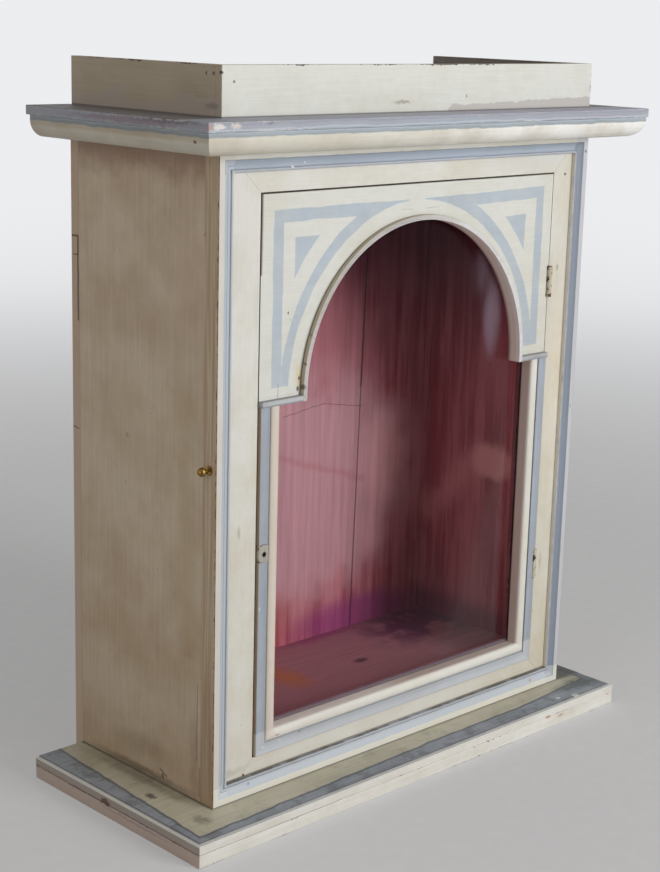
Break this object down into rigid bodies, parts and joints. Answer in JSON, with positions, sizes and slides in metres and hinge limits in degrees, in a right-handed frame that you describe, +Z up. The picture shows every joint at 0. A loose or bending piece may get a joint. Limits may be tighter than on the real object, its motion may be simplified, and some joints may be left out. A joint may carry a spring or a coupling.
{
  "type": "wooden niche shrine",
  "caption": "Painted wooden niche shrine: shallow case on a stepped plinth, hinged glazed door with an arched spandrel board, moulded cornice and a low gallery.",
  "frame": {"origin": "on the ground under the middle of the whole object's outline, seen from above", "axes": "+Z up, -Y towards the front with the door, +X to the right as seen from the front"},
  "size_m": [0.562, 0.25, 0.649],
  "materials": {
    "cream_paint": "cream oil paint brushed on softwood, hairline marks",
    "plinth_paint": "aged cream paint with a dark blue-grey band and chipped edges",
    "niche_floor_stain": "mauve-brown stained softwood",
    "side_paint": "aged cream paint, yellowed, with dents and dark specks",
    "niche_red_stain": "maroon distemper with vertical streaks",
    "back_wood": "bare aged softwood planks",
    "cornice_board_paint": "worn grey paint, bare at the front edge",
    "cornice_paint": "cream oil paint with a blue-grey fillet",
    "gallery_paint": "cream oil paint, unpainted at the foot of the left board",
    "frame_moulding_paint": "cream outer edge and blue-grey cove",
    "door_paint": "cream oil paint, bare and stained at the edges",
    "spandrel_paint": "cream oil paint with painted blue-grey bands and triangles",
    "blue_grey_paint": "blue-grey paint rubbed pale along the arris",
    "door_moulding_paint": "blue-grey cove and cream bead",
    "window_glass": "old drawn window glass, slightly wavy",
    "aged_iron": "rusty iron with paint remains",
    "aged_brass": "tarnished brass"
  },
  "bodies": {
    "case": {"plinth_lower_board": "cream_paint", "plinth_upper_board": "plinth_paint", "floor_board": "niche_floor_stain", "left_side_panel": "side_paint", "right_side_panel": "side_paint", "ceiling_board": "niche_red_stain", "back_plank_left": "back_wood", "back_plank_middle": "back_wood", "back_plank_right": "back_wood", "cornice_board": "cornice_board_paint", "cornice_moulding_front": "cornice_paint", "cornice_moulding_left": "cornice_paint", "cornice_moulding_right": "cornice_paint", "gallery_front_board": "gallery_paint", "gallery_left_board": "gallery_paint", "gallery_right_board": "gallery_paint", "face_frame_left_stile": "cream_paint", "face_frame_right_stile": "cream_paint", "face_frame_top_rail": "cream_paint", "face_frame_bottom_rail": "cream_paint", "frame_moulding_left": "frame_moulding_paint", "frame_moulding_right": "frame_moulding_paint", "frame_moulding_top": "frame_moulding_paint", "frame_moulding_bottom": "frame_moulding_paint", "upper_hinge_case_leaf": "aged_iron", "lower_hinge_case_leaf": "aged_iron", "upper_hinge_pin": "aged_iron", "lower_hinge_pin": "aged_iron", "lock_pin_collar": "aged_brass"},
    "door": {"door_left_stile": "door_paint", "door_right_stile": "door_paint", "door_top_rail": "door_paint", "door_bottom_rail": "door_paint", "spandrel_panel": "spandrel_paint", "arch_edge_strip": "blue_grey_paint", "left_ledge_strip": "blue_grey_paint", "right_ledge_strip": "blue_grey_paint", "door_moulding_left": "door_moulding_paint", "door_moulding_right": "door_moulding_paint", "door_moulding_bottom": "door_moulding_paint", "lock_patch_block": "cream_paint", "glass_pane": "window_glass", "glazing_stop_left": "back_wood", "glazing_stop_right": "back_wood", "glazing_stop_top": "back_wood", "glazing_stop_bottom": "back_wood", "upper_hinge_door_leaf": "aged_iron", "lower_hinge_door_leaf": "aged_iron"},
    "lock_pin": {"lock_pin_rod": "aged_brass", "lock_pin_knob": "aged_brass"}
  },
  "joints": [
    {"name": "door_hinge", "type": "hinge", "parent": "case", "child": "door", "pos_m": [0.19512, -0.075, 0.3], "axis": [0, 0, 1], "range_deg": [0, 115]},
    {"name": "lock_pin", "type": "slide", "parent": "case", "child": "lock_pin", "axis": [-1, 0, 0], "range_m": [-0.003, 0.045]}
  ]
}
